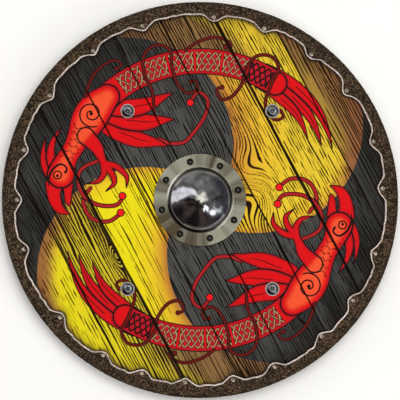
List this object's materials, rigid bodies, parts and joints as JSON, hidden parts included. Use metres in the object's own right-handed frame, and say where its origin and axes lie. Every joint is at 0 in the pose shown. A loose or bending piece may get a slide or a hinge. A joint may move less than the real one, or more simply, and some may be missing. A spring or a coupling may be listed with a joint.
{
  "type": "wooden round shield",
  "caption": "Round plank shield with a painted face, a nailed leather rim, a domed steel boss over the hand hole, and a grip and battens across the back.",
  "frame": {"origin": "on the ground under the middle of the board, the shield lying face up on its two battens", "axes": "+Z out of the painted face, through the boss; +Y up when the shield is held upright, along the grip; +X to the right of someone facing the shield"},
  "size_m": [0.61, 0.61, 0.0686],
  "materials": {
    "painted_planks": "boards stained yellow and black, with painted red ornament, satin",
    "leather": "dark brown, creased, slightly shiny",
    "rim_nails": "worn, dull",
    "boss_steel": "ground and polished",
    "blackened_steel": "blackened",
    "bolt_steel": "bright zinc plated",
    "bare_wood": "oiled, unpainted"
  },
  "bodies": {
    "root": {"plank_1": "painted_planks", "plank_2": "painted_planks", "plank_3": "painted_planks", "plank_4": "painted_planks", "plank_5": "painted_planks", "plank_6": "painted_planks", "plank_7": "painted_planks", "plank_8": "painted_planks", "leather_rim": "leather", "rim_nail_01": "rim_nails", "rim_nail_02": "rim_nails", "rim_nail_03": "rim_nails", "rim_nail_04": "rim_nails", "rim_nail_05": "rim_nails", "rim_nail_06": "rim_nails", "rim_nail_07": "rim_nails", "rim_nail_08": "rim_nails", "rim_nail_09": "rim_nails", "rim_nail_10": "rim_nails", "rim_nail_11": "rim_nails", "rim_nail_12": "rim_nails", "rim_nail_13": "rim_nails", "rim_nail_14": "rim_nails", "rim_nail_15": "rim_nails", "rim_nail_16": "rim_nails", "rim_nail_17": "rim_nails", "rim_nail_18": "rim_nails", "rim_nail_19": "rim_nails", "rim_nail_20": "rim_nails", "rim_nail_21": "rim_nails", "boss": "boss_steel", "boss_rivet_01": "blackened_steel", "boss_rivet_02": "blackened_steel", "boss_rivet_03": "blackened_steel", "boss_rivet_04": "blackened_steel", "boss_rivet_05": "blackened_steel", "boss_rivet_06": "blackened_steel", "boss_rivet_07": "blackened_steel", "boss_rivet_08": "blackened_steel", "bolt_01": "bolt_steel", "bolt_02": "bolt_steel", "bolt_03": "bolt_steel", "bolt_04": "bolt_steel", "nut_01": "bolt_steel", "nut_02": "bolt_steel", "nut_03": "bolt_steel", "nut_04": "bolt_steel", "batten_upper": "bare_wood", "batten_lower": "bare_wood", "grip": "bare_wood", "grip_screw_01": "blackened_steel", "grip_screw_02": "blackened_steel", "grip_screw_03": "blackened_steel", "grip_screw_04": "blackened_steel"}
  },
  "joints": []
}
